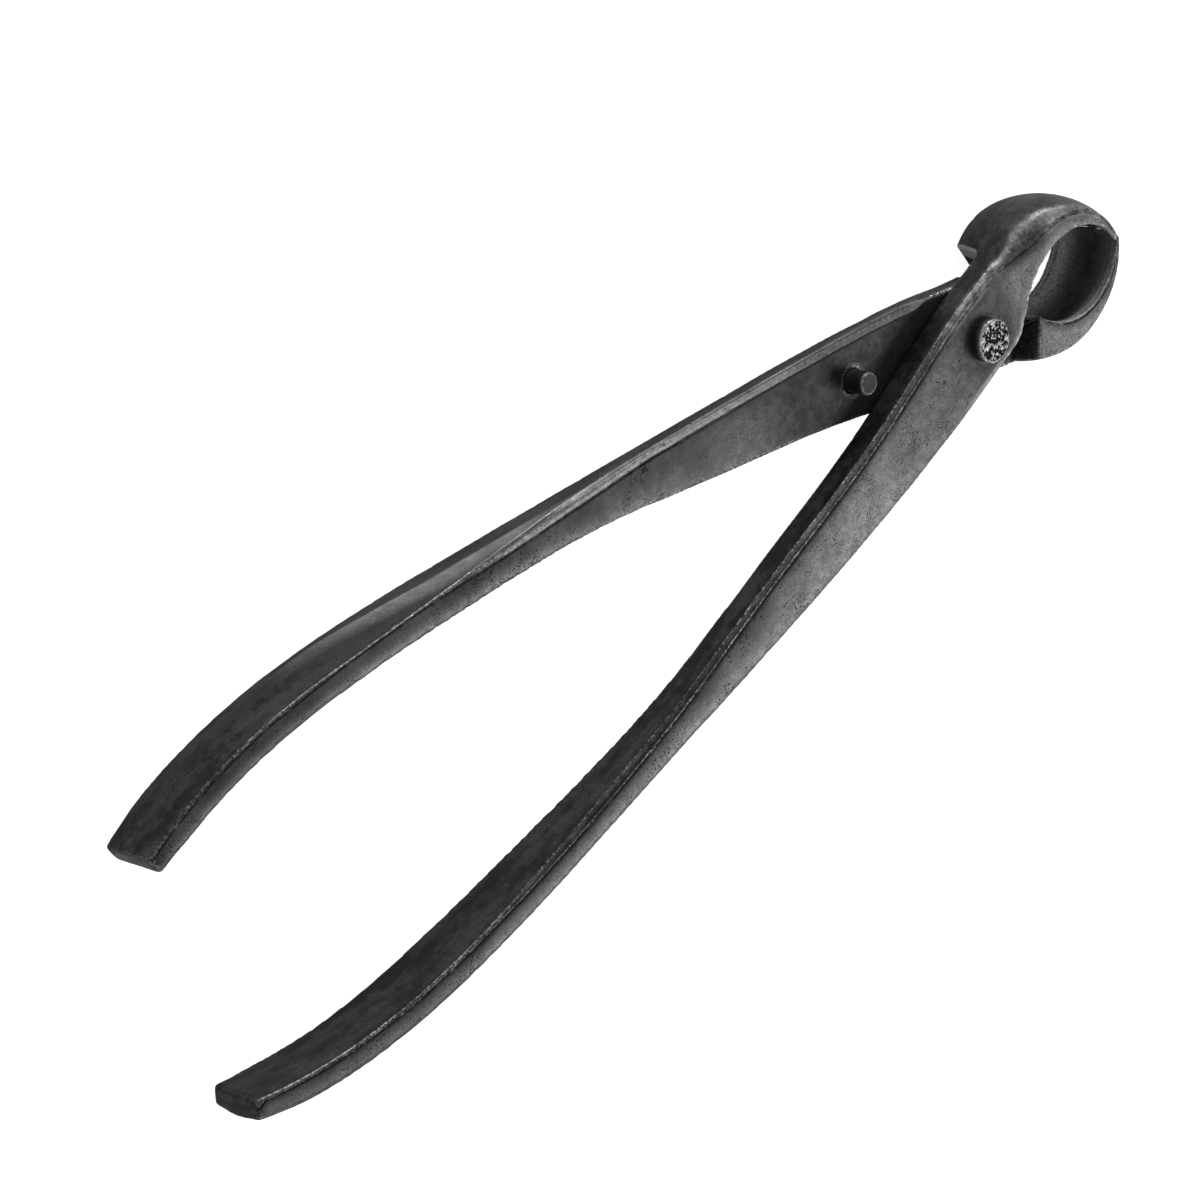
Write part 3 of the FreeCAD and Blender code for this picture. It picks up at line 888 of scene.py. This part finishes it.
def rivet_steel():
    """Hammered head: bright high spots over black hollows."""
    g = Graph("rivet_steel_hammered")
    grain = g.noise(0.15, 4.0, 0.7)
    flakes = g.plus(g.times(g.stored("high"), 0.55), g.times(g.noise(0.42, 5.0, 0.72), 0.45))
    bright = g.times(g.step(flakes, 0.44, 0.56), g.step(grain, 0.38, 0.54, 0.25, 1.0))
    bright = g.most(bright, g.times(g.stored("rim"), g.step(grain, 0.3, 0.6, 0.5, 1.0)))
    colour = g.mix(bright, grey(0.012), EDGE_BRIGHT)
    flank = g.mix(g.step(grain, 0.35, 0.65), (0.040, 0.040, 0.041), grey(0.110))
    colour = g.mix(g.stored("side"), colour, flank)
    return g.finish(Base_Color=colour, Metallic=0.9, Roughness=g.step(bright, 0.0, 1.0, 0.5, 0.28),
                    Normal=g.bump(grain, 0.04, 0.6))


def pin_steel():
    """Blackened pin with a worn rim."""
    g = Graph("pin_steel_worn")
    grain = g.noise(0.4, 4.0, 0.65)
    rim = g.times(g.stored("rim"), g.step(grain, 0.40, 0.58, 0.25, 1.0))
    end = g.mix(g.step(grain, 0.3, 0.7), (0.030, 0.030, 0.031), (0.052, 0.052, 0.053))
    colour = g.mix(g.stored("end"), (0.055, 0.055, 0.056), end)
    colour = g.mix(rim, colour, (0.36, 0.36, 0.35))
    return g.finish(Base_Color=colour, Metallic=0.85, Roughness=g.step(grain, 0.3, 0.7, 0.42, 0.55),
                    Normal=g.bump(grain, 0.03, 0.5))


# ---------------------------------------------------------------- floor, light and camera

FLOOR_HALF = 3.0
FLOOR_DROP = 0.2 * MM    # the floor lies this much below the tool
FLOOR_GLOW = 0.93
SKY_LIGHT = 0.20         # strength of the light from all round
SKY_SEEN = 0.92          # how pale the camera sees it
LIGHT_AWAY = 0.9         # distance of the lights from the tool
LIGHTS = (               # name, azimuth and elevation in degrees, width, height, watts
    ("key", -45.0, 34.0, 0.5, 0.4, 1.9),
    ("side", 50.0, 12.0, 0.6, 0.35, 3.4),
    ("fill", -105.0, 14.0, 0.6, 0.35, 1.4),
    ("top", -90.0, 84.0, 0.6, 0.5, 0.9),
)
CAMERA_RIGHT = Vector((0.6574, -0.2924, 0.6945)).normalized()
CAMERA_UP = Vector((0.5443, 0.8217, -0.1692)).normalized()
CAMERA_PLACE = Vector((-0.40739, 0.37469, 0.53496))
CAMERA_LENS = 150.03     # mm, on a sensor 36 mm wide


def floor_paper():
    """Pale paper, lit a little from behind so that the camera sees only faint shadows."""
    g = Graph("floor_paper")
    colour = g.mix(g.noise(60.0, 2.0, 0.5), grey(0.86), grey(0.90))
    seen = g.node("ShaderNodeLightPath", {}).outputs["Is Camera Ray"]
    return g.finish(Base_Color=colour, Metallic=0.0, Roughness=0.9,
                    Emission_Color=(1.0, 1.0, 1.0, 1.0),
                    Emission_Strength=g.times(seen, FLOOR_GLOW))


def floor():
    """Pale sheet that the tool lies on."""
    bm = bmesh.new()
    bmesh.ops.create_grid(bm, x_segments=4, y_segments=4, size=FLOOR_HALF)
    obj = new_object("floor", mesh_from(bm, "floor"))
    obj.location = (0.0, 0.0, CAD_BOX[0][2] - FLOOR_DROP)
    obj.data.materials.append(floor_paper())


def softbox(name, azimuth, elevation, width, height, power):
    """Area light that faces the tool. Azimuth goes round from +X, and elevation up."""
    data = bpy.data.lights.new(name, "AREA")
    data.shape = "RECTANGLE"
    data.size = width
    data.size_y = height
    data.energy = power
    a = math.radians(azimuth)
    e = math.radians(elevation)
    away = Vector((math.cos(e) * math.cos(a), math.cos(e) * math.sin(a), math.sin(e)))
    obj = new_object(name, data)
    obj.location = Vector((0.0, 0.0, LAP_Z)) + away * LIGHT_AWAY
    obj.rotation_euler = away.to_track_quat("Z", "Y").to_euler()
    obj.visible_camera = False


def sky():
    """Even light from all round, which the camera sees paler than it lights the tool."""
    world = bpy.data.worlds.new("studio")
    bpy.context.scene.world = world
    world.use_nodes = True
    tree = world.node_tree
    background = tree.nodes["Background"]
    background.inputs["Color"].default_value = (1.0, 1.0, 1.0, 1.0)
    seen = tree.nodes.new("ShaderNodeLightPath")
    strength = tree.nodes.new("ShaderNodeMapRange")
    strength.inputs["To Min"].default_value = SKY_LIGHT
    strength.inputs["To Max"].default_value = SKY_SEEN
    tree.links.new(seen.outputs["Is Camera Ray"], strength.inputs["Value"])
    tree.links.new(strength.outputs[0], background.inputs["Strength"])


def camera():
    """The photo's viewpoint."""
    data = bpy.data.cameras.new("camera")
    data.lens = CAMERA_LENS
    data.sensor_width = 36.0
    data.clip_start = 0.01
    data.clip_end = 10.0
    obj = new_object("camera", data)
    towards = CAMERA_RIGHT.cross(CAMERA_UP).normalized()
    axes = (CAMERA_RIGHT, CAMERA_UP, towards, CAMERA_PLACE)
    rows = [tuple(axis[i] for axis in axes) for i in range(3)]
    obj.matrix_world = Matrix(rows + [(0.0, 0.0, 0.0, 1.0)])
    bpy.context.scene.camera = obj
    bpy.context.scene.view_settings.view_transform = "Standard"


# ---------------------------------------------------------------- the scene

STEEL = forged_steel()
for obj, node, body, material, slot in (
    (lever("near_lever", 1.0), "near_lever", "near_half", STEEL, "forged_steel"),
    (lever("far_lever", -1.0), "far_lever", "far_half", STEEL, "forged_steel"),
    (rivet(), "pivot_rivet", "near_half", rivet_steel(), "rivet_steel"),
    (pin(), "stop_pin", "far_half", pin_steel(), "pin_steel"),
):
    obj.data.materials.append(material)
    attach(obj, body)
    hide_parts(node)

floor()
for light in LIGHTS:
    softbox(*light)
sky()
camera()
